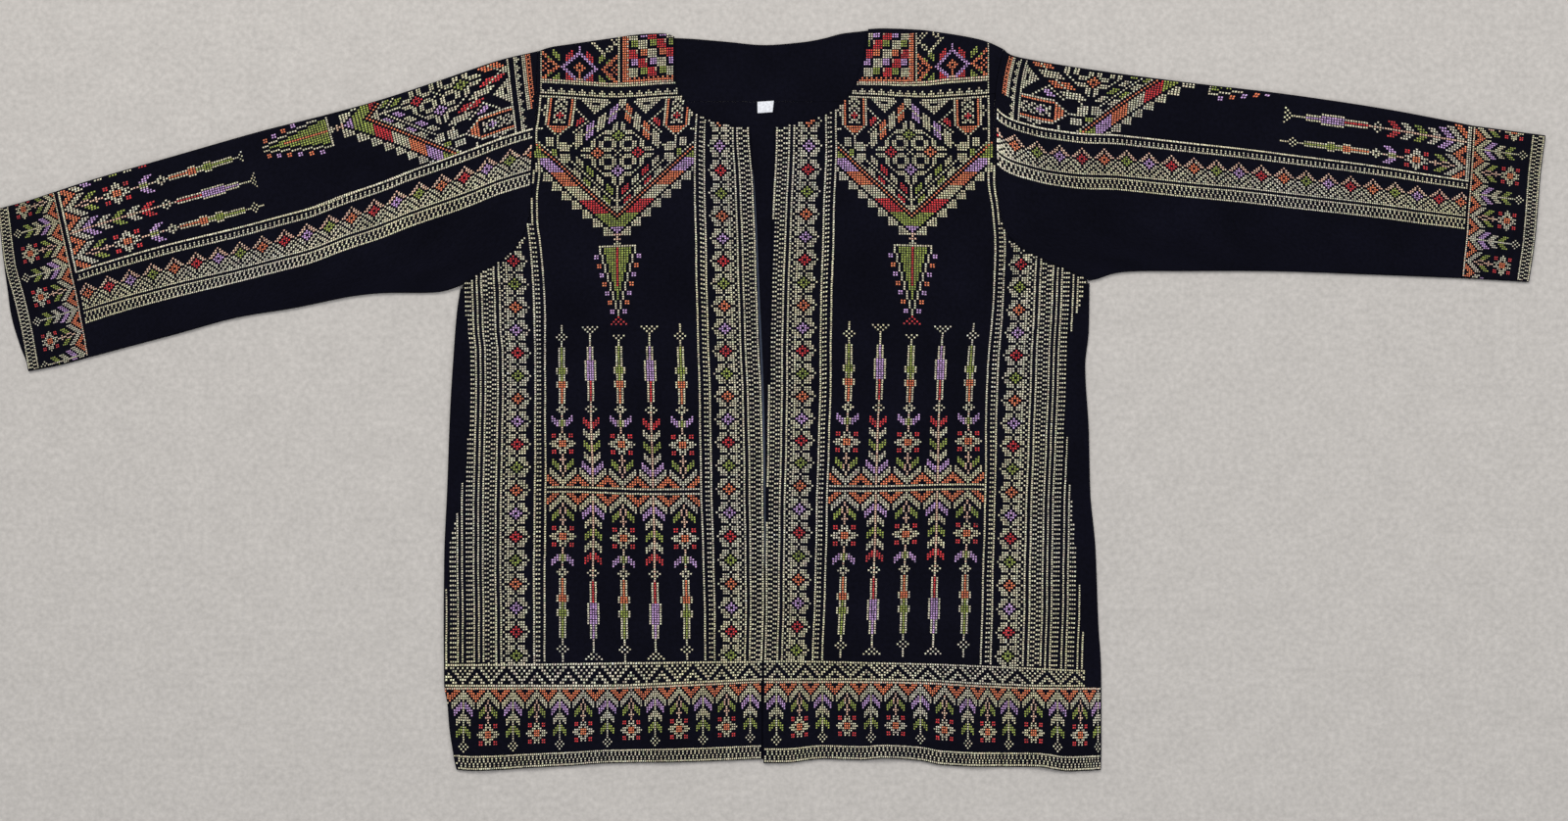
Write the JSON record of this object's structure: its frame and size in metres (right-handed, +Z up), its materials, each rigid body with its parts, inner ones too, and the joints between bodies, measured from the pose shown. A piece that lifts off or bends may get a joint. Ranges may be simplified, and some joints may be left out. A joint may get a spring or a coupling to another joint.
{
  "type": "embroidered jacket",
  "caption": "Short open-front jacket laid flat, with cross-stitched fronts, sleeves and hem band.",
  "frame": {"origin": "on the surface the jacket lies on, under the middle of its outline", "axes": "+Z up out of the surface, +Y from the hem to the neck, +X towards the sleeve on the viewer's right"},
  "size_m": [1.3738, 0.66, 0.0064],
  "materials": {
    "cloth": "plain-woven near-black navy cotton",
    "facing": "plain slate-navy cotton",
    "embroidery_thread": "stranded cotton cross-stitch, soft sheen",
    "label": "white woven tape"
  },
  "bodies": {
    "root": {"front_left": "cloth", "front_right": "cloth", "facing_left": "facing", "back": "cloth", "yoke": "cloth", "hem_band": "cloth", "sleeve_left": "cloth", "sleeve_right": "cloth", "cuff_left": "cloth", "cuff_right": "cloth", "neck_label": "label"}
  },
  "joints": []
}
